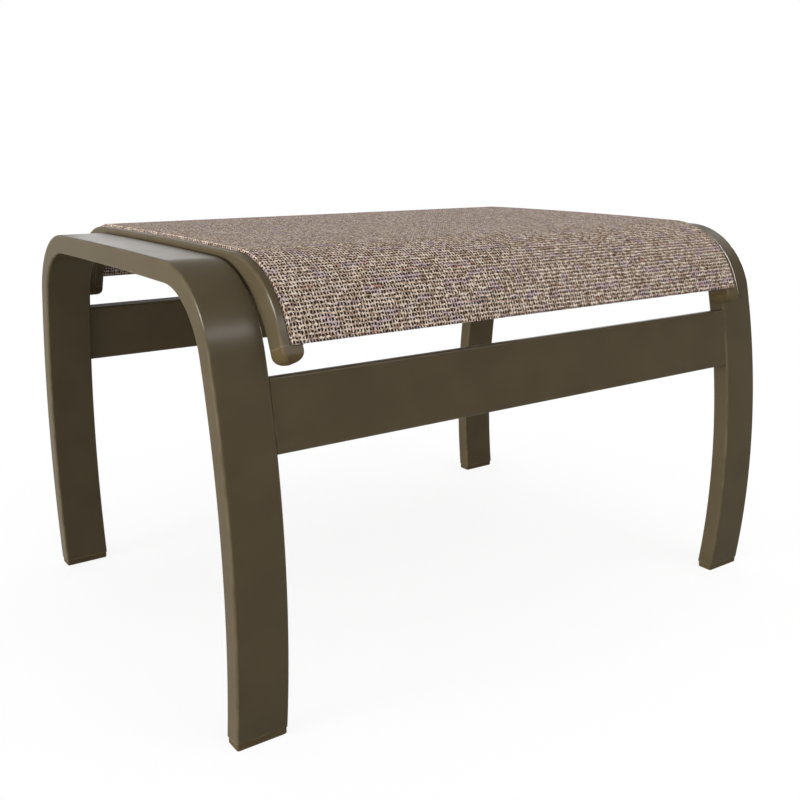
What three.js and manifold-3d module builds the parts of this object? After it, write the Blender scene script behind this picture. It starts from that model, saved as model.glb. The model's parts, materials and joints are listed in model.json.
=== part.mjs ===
// An outdoor ottoman footstool: a woven sling stretched over two curved rails,
// carried by two side frames of bent flat tube that two stretchers join.
// Millimetres, +Z up. X runs along the stretchers and Y runs from front to rear.
// The origin lies on the floor under the middle of the sling.
import * as THREE from "three";
import { mergeVertices } from "three/addons/utils/BufferGeometryUtils.js";
import Module from "manifold-3d";

// Overall size
const WIDTH = 694; // across the outer faces of the two side frames
const FRAME_HEIGHT = 417.3; // floor to the crown of a side frame
const FRAME_HALF_DEPTH = 254.4; // middle of the ottoman to the widest point of a leg

// Side frame tube and its bends, all radii on the outer face of the U
const TUBE_WIDTH = 50.8;
const TUBE_THICKNESS = 20;
const TUBE_WALL = 1.6;
const TUBE_FILLET = 2.5;
const LEG_BOW_RADIUS = 961;
const LEG_BOW_HEIGHT = 128; // floor to the widest point of a leg
const FRAME_BEND_RADIUS = 90;
const CROWN_RADIUS = 10400;
const TUBE_END_HEIGHT = 7.6; // floor to the level cut of a leg

// Stretchers between the legs
const STRETCHER_FACE = 65;
const STRETCHER_THICKNESS = 16;
const STRETCHER_WALL = 1.6;
const STRETCHER_FILLET = 2.5;
const STRETCHER_DROP = 15.3; // end of the rail caps down to the top edge of a stretcher
const STRETCHER_RECESS = 1.2; // its face lies this far behind the outer face of the legs
const WELD_GAP = 0.3; // root gap of the weld at each end

// Sling rails, radii on the outer face
const RAIL_WIDTH = 20.6;
const RAIL_DEPTH = 21;
const RAIL_WALL = 1.8;
const RAIL_OUTER_FILLET = 3;
const RAIL_INNER_FILLET = 2.5;
const RAIL_RISE = 5.6; // crown of a rail above the crown of a side frame
const RAIL_GAP = 2; // side frame to rail
const RAIL_ROLL_DEPTH = 89; // end of the nearly flat stretch to the widest point of a leg
const RAIL_BEND_RADIUS = 91;
const RAIL_TAIL_ANGLE = THREE.MathUtils.degToRad(68.5);
const RAIL_TAIL = 12.5; // straight stretch below the bend
const RAIL_STEP = 1; // how far the side under the cloth stands above the other side

// Keyhole slot of a rail, which holds the edge of the sling
const SLOT_INSET = 9.2; // outer side of the rail to the middle of the slot
const SLOT_BORE_RADIUS = 4;
const SLOT_LIP = 1.8; // metal between the outer face and the bore

// Sling and the two splines in its edge pockets
const FABRIC_THICKNESS = 1.2;
const FABRIC_TAIL = 11.2; // the cloth reaches this far below the bend of the rail
const FABRIC_LIFT = 0.3; // cloth to the rail below it
const FABRIC_CLEARANCE = 0.3; // cloth to each side of the slot
const POCKET_CLEARANCE = 0.4;
const SPLINE_CLEARANCE = 0.3;
const SPLINE_TAIL = 11.8;

// Rail end caps
const CAP_STRAIGHT = 2;
const CAP_SIDE_RADIUS = 10;
const CAP_FACE_RADIUS = 7;
const CAP_PLUG_LENGTH = 15;

// Bolts, spacers and threaded inserts that fix the rails to the side frames
const BOLT_INSET = 55; // bolt to the end of the nearly flat stretch of a rail
const BOLT_RADIUS = 3;
const BOLT_HEAD_RADIUS = 5.2;
const BOLT_HEAD_HEIGHT = 3.2;
const BOLT_HEAD_RIM = 1.1; // straight edge of the button head
const BOLT_HEAD_FLAT_RADIUS = 3.4;
const BOLT_CHAMFER = 0.8;
const BOLT_TIP_REACH = 13; // how far a bolt stands into the tube of the side frame
const BOLT_SOCKET_RADIUS = 2.3;
const BOLT_SOCKET_DEPTH = 2;
const BOLT_SOCKET_SIDES = 6;
const INSERT_FLANGE_RADIUS = 6;
const INSERT_FLANGE = 1;
const INSERT_BODY_RADIUS = 4.6;
const INSERT_LENGTH = 15;
const SPACER_RADIUS = 6;

// Foot glides
const GLIDE_INSET = 0.8; // side of the leg to the side of the glide
const GLIDE_EDGE_RADIUS = 7;
const GLIDE_END_RADIUS = 3;
const GLIDE_PLUG_LENGTH = 24;
const GLIDE_CORNER = 2;
const GLIDE_ROOT = 1.6; // how deep the plug is rooted in the sole

// Shared fits
const SEAT_GAP = 0.3; // a pushed-in plastic piece to the tube that it closes
const PLUG_CLEARANCE = 0.3; // a plug to the walls around it
const HOLE_CLEARANCE = 0.3; // a bolt or insert to the hole around it
const OVERRUN = 5; // how far a cutting shape stands past what it cuts

// Steps of the curves
const CROWN_STEPS = 3;
const FRAME_BEND_STEPS = 10;
const LEG_STEPS = 10;
const RAIL_BEND_STEPS = 10;
const FILLET_STEPS = 2;
const BORE_STEPS = 8;
const ROUND_STEPS = 6;
const POCKET_STEPS = 8;
const CIRCLE_STEPS = 12;

// Places worked out from the sizes above
const INNER_FACE_X = WIDTH / 2 - TUBE_WIDTH;
const FRAME_X = (WIDTH - TUBE_WIDTH) / 2;
const RAIL_X = INNER_FACE_X - RAIL_GAP - RAIL_WIDTH / 2;
const SLOT_X = INNER_FACE_X - RAIL_GAP - SLOT_INSET;
const RAIL_CROWN = FRAME_HEIGHT + RAIL_RISE;
const FRAME_TRIM = TUBE_THICKNESS + OVERRUN; // spare leg that the level cut takes off
const RAIL_FLAT_HALF = FRAME_HALF_DEPTH - RAIL_ROLL_DEPTH;
const BOLT_Y = RAIL_FLAT_HALF - BOLT_INSET;
const FABRIC_TOP = RAIL_STEP + FABRIC_LIFT + FABRIC_THICKNESS;
const SLOT_WIDTH = 2 * (FABRIC_THICKNESS + FABRIC_CLEARANCE);
const SLOT_BORE_DEPTH = SLOT_LIP + SLOT_BORE_RADIUS;
const POCKET_RADIUS = SLOT_BORE_RADIUS - POCKET_CLEARANCE;
const CAP_LENGTH = CAP_STRAIGHT + CAP_SIDE_RADIUS;
const CHAMBER_TOP = SLOT_BORE_DEPTH + SLOT_BORE_RADIUS + RAIL_WALL;
const CHAMBER_BOTTOM = RAIL_DEPTH - RAIL_WALL;
const QUARTER_TURN = Math.PI / 2;
const SIDES = { left: -1, right: 1 };
const ENDS = { front: -1, rear: 1 };

const wasm = await Module();
wasm.setup();

// Finishes
const FINISHES = {
  powderCoat: { color: 0x4e4436, roughness: 0.42, metalness: 0.15 },
  mesh: { color: 0xa28f80, roughness: 0.8, metalness: 0 },
  capPlastic: { color: 0x4a4134, roughness: 0.5, metalness: 0 },
  footPlastic: { color: 0x463d30, roughness: 0.55, metalness: 0 },
  splinePlastic: { color: 0xd8d6d0, roughness: 0.5, metalness: 0 },
  nylon: { color: 0x2a2724, roughness: 0.55, metalness: 0 },
  steel: { color: 0x9a9a98, roughness: 0.35, metalness: 1 },
};

// One piece of a side outline. place gives the point and the outward direction at a share of
// its length, as y, z and an angle that is 0 upwards and a quarter turn towards the rear.
function arcPiece(centre, radius, from, to, steps) {
  const place = (share) => {
    const angle = from + (to - from) * share;
    return [centre.y + radius * Math.sin(angle), centre.z + radius * Math.cos(angle), angle];
  };
  return { steps, place };
}

function straightPiece([y, z, angle], length) {
  const place = (share) => {
    const run = length * share;
    return [y + run * Math.cos(angle), z - run * Math.sin(angle), angle];
  };
  return { steps: 1, place };
}

function mirroredPiece(piece) {
  const place = (share) => {
    const [y, z, angle] = piece.place(1 - share);
    return [-y, z, -angle];
  };
  return { steps: piece.steps, place };
}

// A side outline in the Y-Z plane, from its front end over the crown to its rear end.
class SidePath extends THREE.Curve {
  constructor(crown, rearPieces) {
    super();
    const frontPieces = rearPieces.map(mirroredPiece).reverse();
    this.pieces = [...frontPieces, crown, ...rearPieces];
    this.steps = this.pieces.reduce((sum, piece) => sum + piece.steps, 0);
  }

  // Each piece keeps its own length of step.
  getUtoTmapping(u) {
    return u;
  }

  place(t) {
    let step = t * this.steps;
    for (const piece of this.pieces) {
      if (step <= piece.steps) {
        return piece.place(step / piece.steps);
      }
      step -= piece.steps;
    }
    return this.pieces.at(-1).place(1);
  }

  getPoint(t, target = new THREE.Vector3()) {
    const [y, z] = this.place(t);
    return target.set(0, y, z);
  }

  getTangent(t, target = new THREE.Vector3()) {
    const angle = this.place(t)[2];
    return target.set(0, Math.cos(angle), -Math.sin(angle));
  }
}

// Centre of the arc that joins a leg arc and the crown arc, touching both from inside.
function bendCentre(leg, legRadius, crown, crownRadius, bendRadius) {
  const toLeg = legRadius - bendRadius;
  const toCrown = crownRadius - bendRadius;
  const dy = leg.y - crown.y;
  const dz = leg.z - crown.z;
  const span = Math.hypot(dy, dz);
  const along = (toCrown ** 2 - toLeg ** 2 + span ** 2) / (2 * span);
  const aside = Math.sqrt(toCrown ** 2 - along ** 2);
  return {
    y: crown.y + (along * dy + aside * dz) / span,
    z: crown.z + (along * dz - aside * dy) / span,
  };
}

function frameArcs() {
  const leg = { y: FRAME_HALF_DEPTH - LEG_BOW_RADIUS, z: LEG_BOW_HEIGHT };
  const crown = { y: 0, z: FRAME_HEIGHT - CROWN_RADIUS };
  const bend = bendCentre(leg, LEG_BOW_RADIUS, crown, CROWN_RADIUS, FRAME_BEND_RADIUS);
  const crownAngle = Math.atan2(bend.y - crown.y, bend.z - crown.z);
  const legAngle = Math.atan2(bend.y - leg.y, bend.z - leg.z);
  return { leg, crown, bend, crownAngle, legAngle };
}

// Outward direction of a leg at a height.
function legAngleAt(height) {
  return QUARTER_TURN + Math.asin((LEG_BOW_HEIGHT - height) / LEG_BOW_RADIUS);
}

// Middle of the tube of the rear leg at a height.
function legMiddle(height) {
  const { leg } = frameArcs();
  const angle = legAngleAt(height);
  const radius = LEG_BOW_RADIUS - TUBE_THICKNESS / 2;
  return { y: leg.y + radius * Math.sin(angle), z: leg.z + radius * Math.cos(angle), angle };
}

function framePath() {
  const { leg, crown, bend, crownAngle, legAngle } = frameArcs();
  const footAngle = legAngleAt(TUBE_END_HEIGHT - FRAME_TRIM);
  const crownPiece = arcPiece(crown, CROWN_RADIUS, -crownAngle, crownAngle, CROWN_STEPS);
  return new SidePath(crownPiece, [
    arcPiece(bend, FRAME_BEND_RADIUS, crownAngle, legAngle, FRAME_BEND_STEPS),
    arcPiece(leg, LEG_BOW_RADIUS, legAngle, footAngle, LEG_STEPS),
  ]);
}

function arcCentre([y, z, angle], radius) {
  return { y: y - radius * Math.sin(angle), z: z - radius * Math.cos(angle) };
}

// Path of a rail, or of what runs along it, ended by a straight tail below the bend.
function railPath(tail) {
  const crown = { y: 0, z: RAIL_CROWN - CROWN_RADIUS };
  const flatAngle = Math.asin(RAIL_FLAT_HALF / CROWN_RADIUS);
  const flat = arcPiece(crown, CROWN_RADIUS, -flatAngle, flatAngle, CROWN_STEPS);
  const centre = arcCentre(flat.place(1), RAIL_BEND_RADIUS);
  const bend = arcPiece(centre, RAIL_BEND_RADIUS, flatAngle, RAIL_TAIL_ANGLE, RAIL_BEND_STEPS);
  return new SidePath(flat, [bend, straightPiece(bend.place(1), tail)]);
}

// Corners of an arc, as sharp corners of an outline.
function arcCorners(x, y, radius, from, to, steps) {
  const corners = [];
  for (let i = 0; i <= steps; i += 1) {
    const angle = from + ((to - from) * i) / steps;
    corners.push([x + radius * Math.cos(angle), y + radius * Math.sin(angle), 0]);
  }
  return corners;
}

function circleOutline(x, y, radius, steps = CIRCLE_STEPS) {
  const corners = arcCorners(x, y, radius, 0, 2 * Math.PI, steps);
  return outlinePoints(corners.slice(1));
}

// Points of an outline whose corners are given as x, y and radius.
function outlinePoints(corners, steps = FILLET_STEPS) {
  return corners.flatMap(([x, y, radius], i) => {
    const corner = new THREE.Vector2(x, y);
    if (radius === 0) {
      return [corner];
    }
    const [beforeX, beforeY] = corners.at(i - 1);
    const [afterX, afterY] = corners[(i + 1) % corners.length];
    const toBefore = new THREE.Vector2(beforeX - x, beforeY - y).normalize();
    const toAfter = new THREE.Vector2(afterX - x, afterY - y).normalize();
    const halfAngle = Math.acos(toBefore.dot(toAfter)) / 2;
    const inward = toBefore.clone().add(toAfter).normalize();
    const centre = corner.clone().addScaledVector(inward, radius / Math.sin(halfAngle));
    const reach = radius / Math.tan(halfAngle);
    const start = corner.clone().addScaledVector(toBefore, reach).sub(centre);
    const end = corner.clone().addScaledVector(toAfter, reach).sub(centre);
    const turn = Math.atan2(start.cross(end), start.dot(end));
    const arc = arcCorners(centre.x, centre.y, radius, start.angle(), start.angle() + turn, steps);
    return arc.map(([arcX, arcY]) => new THREE.Vector2(arcX, arcY));
  });
}

// Rectangle with one radius on its low corners and one on its high corners.
function rectangleOutline([left, low], [right, high], lowRadius, highRadius, steps) {
  const corners = [
    [left, low, lowRadius],
    [right, low, lowRadius],
    [right, high, highRadius],
    [left, high, highRadius],
  ];
  return outlinePoints(corners, steps);
}

// Rectangle about the origin.
function centredOutline(width, height, radius, steps) {
  const x = width / 2;
  const y = height / 2;
  return rectangleOutline([-x, -y], [x, y], radius, radius, steps);
}

// Rectangle standing on the origin, rounded at its low corners.
function standingOutline(width, height, radius) {
  return rectangleOutline([-width / 2, 0], [width / 2, height], radius, 0, ROUND_STEPS);
}

// A section swept along a side path. Its x is the X of the ottoman, and its y points outwards.
function sweep(outline, holes, path) {
  const flip = (points) => points.map(({ x, y }) => new THREE.Vector2(-x, y)).reverse();
  const shape = new THREE.Shape(flip(outline));
  shape.holes = holes.map((hole) => new THREE.Path(flip(hole)));
  return new THREE.ExtrudeGeometry(shape, { steps: path.steps, extrudePath: path });
}

// A section in X and Y drawn out from z = 0 upwards.
function prism(outline, holes, length) {
  const shape = new THREE.Shape(outline);
  shape.holes = holes.map((hole) => new THREE.Path(hole));
  return new THREE.ExtrudeGeometry(shape, { depth: length, bevelEnabled: false });
}

// A cylinder along X with one end at x = start.
function rod(radius, start, end) {
  const geometry = new THREE.CylinderGeometry(radius, radius, end - start, CIRCLE_STEPS);
  geometry.rotateZ(QUARTER_TURN);
  geometry.translate((start + end) / 2, 0, 0);
  return geometry;
}

function toSolid(geometry) {
  const bare = geometry.clone();
  bare.deleteAttribute("normal");
  bare.deleteAttribute("uv");
  const merged = mergeVertices(bare);
  const vertProperties = Float32Array.from(merged.attributes.position.array);
  const triVerts = Uint32Array.from(merged.index.array);
  return new wasm.Manifold(new wasm.Mesh({ numProp: 3, vertProperties, triVerts }));
}

function toGeometry(solid) {
  const { vertProperties, triVerts } = solid.getMesh();
  const geometry = new THREE.BufferGeometry();
  geometry.setAttribute("position", new THREE.BufferAttribute(vertProperties, 3));
  geometry.setIndex(new THREE.BufferAttribute(triVerts, 1));
  geometry.computeVertexNormals();
  return geometry;
}

function namedMesh(name, geometry, finish) {
  const mesh = new THREE.Mesh(geometry, new THREE.MeshStandardMaterial(FINISHES[finish]));
  mesh.name = name;
  return mesh;
}

// Height of the bolts: the middle of the crown tube of a side frame.
function boltHeight() {
  const drop = CROWN_RADIUS - Math.sqrt(CROWN_RADIUS ** 2 - BOLT_Y ** 2);
  return FRAME_HEIGHT - drop - TUBE_THICKNESS / 2;
}

// A copy of a geometry at each bolt of one side, cut out of a solid.
function cutAtBolts(solid, geometry) {
  let result = solid;
  for (const end of Object.values(ENDS)) {
    const cutter = geometry.clone().translate(0, end * BOLT_Y, boltHeight());
    result = result.subtract(toSolid(cutter));
  }
  return result;
}

// Section of a tube about the origin, as its outer outline and its bore.
function tubeSection(width, height, wall, fillet) {
  const outer = centredOutline(width, height, fillet);
  const boreFillet = Math.max(fillet - wall, 0);
  const bore = centredOutline(width - 2 * wall, height - 2 * wall, boreFillet, 1);
  return { outer, bore };
}

// Side frame: a flat tube bent to an inverted U, with level ends and two insert holes.
function sideFrame(side) {
  const { outer, bore } = tubeSection(TUBE_WIDTH, TUBE_THICKNESS, TUBE_WALL, TUBE_FILLET);
  const inwards = new THREE.Vector2(0, -TUBE_THICKNESS / 2);
  for (const point of [...outer, ...bore]) {
    point.add(inwards);
  }
  const width = TUBE_WIDTH + 2 * OVERRUN;
  const depth = 2 * (FRAME_HALF_DEPTH + OVERRUN);
  const below = new THREE.BoxGeometry(width, depth, 2 * FRAME_TRIM);
  below.translate(0, 0, TUBE_END_HEIGHT - FRAME_TRIM);
  const reach = TUBE_WALL + OVERRUN;
  const hole = rod(INSERT_BODY_RADIUS + HOLE_CLEARANCE, -reach, reach);
  hole.translate((-side * TUBE_WIDTH) / 2, 0, 0);
  const tube = toSolid(sweep(outer, [bore], framePath())).subtract(toSolid(below));
  return toGeometry(cutAtBolts(tube, hole));
}

// Stretcher: a flat tube along X, with its face to the rear before it leans.
function stretcher() {
  const { outer, bore } = tubeSection(
    STRETCHER_THICKNESS,
    STRETCHER_FACE,
    STRETCHER_WALL,
    STRETCHER_FILLET,
  );
  const length = 2 * (INNER_FACE_X - WELD_GAP);
  const geometry = prism(outer, [bore], length);
  geometry.translate(0, 0, -length / 2);
  geometry.rotateX(QUARTER_TURN);
  geometry.rotateZ(QUARTER_TURN);
  return geometry;
}

// Height of the middle of a stretcher, which lies below the rail caps.
function stretcherHeight() {
  const [, tailHeight, angle] = railPath(RAIL_TAIL).place(1);
  const capEnd = tailHeight - (SEAT_GAP + CAP_LENGTH) * Math.sin(angle);
  return capEnd - STRETCHER_DROP - STRETCHER_FACE / 2;
}

function placeStretcher(name, end) {
  const height = stretcherHeight();
  const angle = legAngleAt(height);
  const { leg } = frameArcs();
  const radius = LEG_BOW_RADIUS - STRETCHER_RECESS - STRETCHER_THICKNESS / 2;
  const mesh = namedMesh(name, stretcher(), "powderCoat");
  mesh.position.set(0, end * (leg.y + radius * Math.sin(angle)), height);
  mesh.rotation.x = end * (QUARTER_TURN - angle);
  return mesh;
}

// Rail: an extrusion with a keyhole slot for the sling and a hollow chamber below it.
// The inner side of the slot stands a step above the outer side, and the cloth lies on it.
function railOutline() {
  const slotLeft = SLOT_INSET - SLOT_WIDTH / 2;
  const slotRight = SLOT_INSET + SLOT_WIDTH / 2;
  const mouth = Math.asin(SLOT_WIDTH / 2 / SLOT_BORE_RADIUS);
  const boreFrom = QUARTER_TURN + mouth;
  const boreTo = boreFrom + 2 * (Math.PI - mouth);
  return [
    [0, -RAIL_DEPTH, RAIL_INNER_FILLET],
    [0, 0, RAIL_OUTER_FILLET],
    [slotLeft, 0, 0],
    ...arcCorners(SLOT_INSET, -SLOT_BORE_DEPTH, SLOT_BORE_RADIUS, boreFrom, boreTo, BORE_STEPS),
    [slotRight, RAIL_STEP, 0],
    [RAIL_WIDTH, RAIL_STEP, RAIL_OUTER_FILLET],
    [RAIL_WIDTH, -RAIL_DEPTH, RAIL_INNER_FILLET],
  ];
}

function chamberOutline(clearance) {
  const low = clearance - CHAMBER_BOTTOM;
  const high = -CHAMBER_TOP - clearance;
  const half = RAIL_WIDTH / 2 - RAIL_WALL - clearance;
  const corner = Math.max(RAIL_INNER_FILLET - RAIL_WALL, 0);
  return rectangleOutline([-half, low], [half, high], corner, corner, 1);
}

function rail(side) {
  const corners = railOutline().map(([inset, out, radius]) => {
    return [side * (RAIL_WIDTH / 2 - inset), out, radius];
  });
  const body = toSolid(sweep(outlinePoints(corners), [chamberOutline(0)], railPath(RAIL_TAIL)));
  const reach = RAIL_WIDTH / 2 + OVERRUN;
  return toGeometry(cutAtBolts(body, rod(BOLT_RADIUS + HOLE_CLEARANCE, -reach, reach)));
}

// Sling: one sheet whose side edges turn down through the slots into sewn pockets.
function slingEdge() {
  const ply = FABRIC_THICKNESS;
  const neck = Math.asin(ply / POCKET_RADIUS);
  const from = QUARTER_TURN - neck;
  const to = from - 2 * (Math.PI - neck);
  return [
    [SLOT_X + ply, FABRIC_TOP, ply / 2],
    ...arcCorners(SLOT_X, -SLOT_BORE_DEPTH, POCKET_RADIUS, from, to, POCKET_STEPS),
    [SLOT_X - ply, FABRIC_TOP - ply, 0],
  ];
}

function sling() {
  const right = slingEdge();
  const left = right.map(([x, out, radius]) => [-x, out, radius]).reverse();
  const pocket = POCKET_RADIUS - FABRIC_THICKNESS;
  const pockets = Object.values(SIDES).map((side) => {
    return circleOutline(side * SLOT_X, -SLOT_BORE_DEPTH, pocket, POCKET_STEPS);
  });
  return sweep(outlinePoints([...right, ...left]), pockets, railPath(FABRIC_TAIL));
}

// Spline: the plastic rod that keeps a pocket of the sling in its slot.
function spline() {
  const radius = POCKET_RADIUS - FABRIC_THICKNESS - SPLINE_CLEARANCE;
  const outline = circleOutline(0, -SLOT_BORE_DEPTH, radius, POCKET_STEPS);
  return sweep(outline, [], railPath(SPLINE_TAIL));
}

// A block of a given plan standing on z = 0. The low edges at its ends in X have one radius,
// and the low edges along its sides another.
function roundedBlock(plan, { width, depth, height, endRadius, sideRadius }) {
  const front = prism(standingOutline(width, height, endRadius), [], depth);
  front.translate(0, 0, -depth / 2).rotateX(QUARTER_TURN);
  const side = prism(standingOutline(depth, height, sideRadius), [], width);
  side.translate(0, 0, -width / 2).rotateX(QUARTER_TURN).rotateZ(QUARTER_TURN);
  return toSolid(prism(plan, [], height)).intersect(toSolid(front)).intersect(toSolid(side));
}

// Rail end cap: a rounded plastic head with a plug in the chamber of the rail. The origin is
// the outer face of the rail at its end, with +Y outwards and the plug along +Z.
function railCap() {
  const half = RAIL_WIDTH / 2;
  const middle = RAIL_DEPTH / 2;
  const plan = rectangleOutline(
    [-half, -middle],
    [half, middle],
    RAIL_INNER_FILLET,
    RAIL_OUTER_FILLET,
  );
  const head = roundedBlock(plan, {
    width: RAIL_WIDTH,
    depth: RAIL_DEPTH,
    height: CAP_LENGTH,
    endRadius: CAP_SIDE_RADIUS,
    sideRadius: CAP_FACE_RADIUS,
  });
  const plug = prism(chamberOutline(PLUG_CLEARANCE), [], CAP_PLUG_LENGTH + CAP_STRAIGHT);
  plug.translate(0, middle, CAP_SIDE_RADIUS);
  const cap = toGeometry(head.add(toSolid(plug)));
  cap.translate(0, -middle, -CAP_LENGTH - SEAT_GAP);
  return cap;
}

// Foot glide: a rounded plastic sole with a plug in the end of the leg. The origin is on the
// floor below the middle of the end of the leg, which leans as it does at the rear.
function glide() {
  const width = TUBE_WIDTH - 2 * GLIDE_INSET;
  const depth = TUBE_THICKNESS - 2 * GLIDE_INSET;
  const height = TUBE_END_HEIGHT - SEAT_GAP;
  const head = roundedBlock(centredOutline(width, depth, GLIDE_CORNER), {
    width,
    depth,
    height,
    endRadius: GLIDE_END_RADIUS,
    sideRadius: Math.min(GLIDE_EDGE_RADIUS, height),
  });
  const play = 2 * (TUBE_WALL + PLUG_CLEARANCE);
  const outline = centredOutline(TUBE_WIDTH - play, TUBE_THICKNESS - play, GLIDE_CORNER, 1);
  const root = GLIDE_ROOT + SEAT_GAP;
  const length = GLIDE_PLUG_LENGTH + root;
  const middle = legMiddle(TUBE_END_HEIGHT - root + length / 2);
  const plug = prism(outline, [], length);
  plug.translate(0, 0, -length / 2);
  plug.rotateX(QUARTER_TURN - middle.angle);
  plug.translate(0, middle.y - legMiddle(TUBE_END_HEIGHT).y, middle.z);
  return toGeometry(head.add(toSolid(plug)));
}

// Button-head bolt along X. The origin is under the head, and the tip points to +X.
function bolt() {
  const length = RAIL_WIDTH + RAIL_GAP + BOLT_TIP_REACH;
  const profile = [
    new THREE.Vector2(0, -BOLT_HEAD_HEIGHT),
    new THREE.Vector2(BOLT_HEAD_FLAT_RADIUS, -BOLT_HEAD_HEIGHT),
    new THREE.Vector2(BOLT_HEAD_RADIUS, -BOLT_HEAD_RIM),
    new THREE.Vector2(BOLT_HEAD_RADIUS, 0),
    new THREE.Vector2(BOLT_RADIUS, 0),
    new THREE.Vector2(BOLT_RADIUS, length - BOLT_CHAMFER),
    new THREE.Vector2(BOLT_RADIUS - BOLT_CHAMFER, length),
    new THREE.Vector2(0, length),
  ];
  const turned = new THREE.LatheGeometry(profile, CIRCLE_STEPS);
  const socket = new THREE.CylinderGeometry(
    BOLT_SOCKET_RADIUS,
    BOLT_SOCKET_RADIUS,
    2 * BOLT_SOCKET_DEPTH,
    BOLT_SOCKET_SIDES,
  );
  socket.translate(0, -BOLT_HEAD_HEIGHT, 0);
  const geometry = toGeometry(toSolid(turned).subtract(toSolid(socket)));
  geometry.rotateZ(-QUARTER_TURN);
  return geometry;
}

// Threaded insert along X. The flange seats at the origin, and the body points to +X.
function threadedInsert() {
  const flange = toSolid(rod(INSERT_FLANGE_RADIUS, -INSERT_FLANGE, 0));
  const body = toSolid(rod(INSERT_BODY_RADIUS, -INSERT_FLANGE, INSERT_LENGTH));
  const bore = rod(BOLT_RADIUS + HOLE_CLEARANCE, -OVERRUN, INSERT_LENGTH + OVERRUN);
  return toGeometry(flange.add(body).subtract(toSolid(bore)));
}

// Spacer ring between the flange of an insert and the rail, along X from the origin to -X.
function spacer() {
  const thickness = RAIL_GAP - INSERT_FLANGE;
  const ring = prism(
    circleOutline(0, 0, SPACER_RADIUS),
    [circleOutline(0, 0, BOLT_RADIUS + HOLE_CLEARANCE)],
    thickness,
  );
  ring.rotateY(-QUARTER_TURN);
  return ring;
}

// The stack of one bolt, seated on the inner face of a side frame and built towards +X.
function boltStack(sideName, endName) {
  const stack = new THREE.Group();
  const tag = `${endName}_${sideName}`;
  const insertMesh = namedMesh(`threaded_insert_${tag}`, threadedInsert(), "steel");
  const spacerMesh = namedMesh(`rail_spacer_${tag}`, spacer(), "nylon");
  spacerMesh.position.x = -INSERT_FLANGE;
  const boltMesh = namedMesh(`rail_bolt_${tag}`, bolt(), "steel");
  boltMesh.position.x = -RAIL_GAP - RAIL_WIDTH;
  stack.add(insertMesh, spacerMesh, boltMesh);
  stack.position.set(SIDES[sideName] * INNER_FACE_X, ENDS[endName] * BOLT_Y, boltHeight());
  stack.rotation.z = sideName === "left" ? Math.PI : 0;
  return stack;
}

// A rail end cap, turned to the tail of the rail. The whole group is turned for the front.
function capAtEnd(sideName, endName) {
  const [y, z, angle] = railPath(RAIL_TAIL).place(1);
  const mesh = namedMesh(`rail_cap_${endName}_${sideName}`, railCap(), "capPlastic");
  mesh.position.set(0, y, z);
  mesh.rotation.x = QUARTER_TURN - angle;
  const group = new THREE.Group();
  group.add(mesh);
  group.position.x = SIDES[sideName] * RAIL_X;
  group.rotation.z = endName === "front" ? Math.PI : 0;
  return group;
}

function glideAtFoot(sideName, endName) {
  const mesh = namedMesh(`foot_glide_${endName}_${sideName}`, glide(), "footPlastic");
  const { y } = legMiddle(TUBE_END_HEIGHT);
  mesh.position.set(SIDES[sideName] * FRAME_X, ENDS[endName] * y, 0);
  mesh.rotation.z = endName === "front" ? Math.PI : 0;
  return mesh;
}

function sideAssembly(sideName) {
  const group = new THREE.Group();
  const side = SIDES[sideName];
  const frame = namedMesh(`${sideName}_frame`, sideFrame(side), "powderCoat");
  frame.position.x = side * FRAME_X;
  const railMesh = namedMesh(`${sideName}_sling_rail`, rail(side), "powderCoat");
  railMesh.position.x = side * RAIL_X;
  const splineMesh = namedMesh(`${sideName}_spline`, spline(), "splinePlastic");
  splineMesh.position.x = side * SLOT_X;
  group.add(frame, railMesh, splineMesh);
  for (const endName of Object.keys(ENDS)) {
    group.add(glideAtFoot(sideName, endName));
    group.add(capAtEnd(sideName, endName));
    group.add(boltStack(sideName, endName));
  }
  return group;
}

const ottoman = new THREE.Group();
for (const sideName of Object.keys(SIDES)) {
  ottoman.add(sideAssembly(sideName));
}
for (const [endName, end] of Object.entries(ENDS)) {
  ottoman.add(placeStretcher(`${endName}_stretcher`, end));
}
ottoman.add(namedMesh("sling", sling(), "mesh"));

export default ottoman;
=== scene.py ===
"""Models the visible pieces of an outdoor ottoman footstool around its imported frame.

Metres, +Z up. X runs along the stretchers and Y runs from front to rear. Side outlines lie in
the Y-Z plane, and their angles are 0 upwards and a quarter turn towards the rear.
"""

import json
import math

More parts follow.
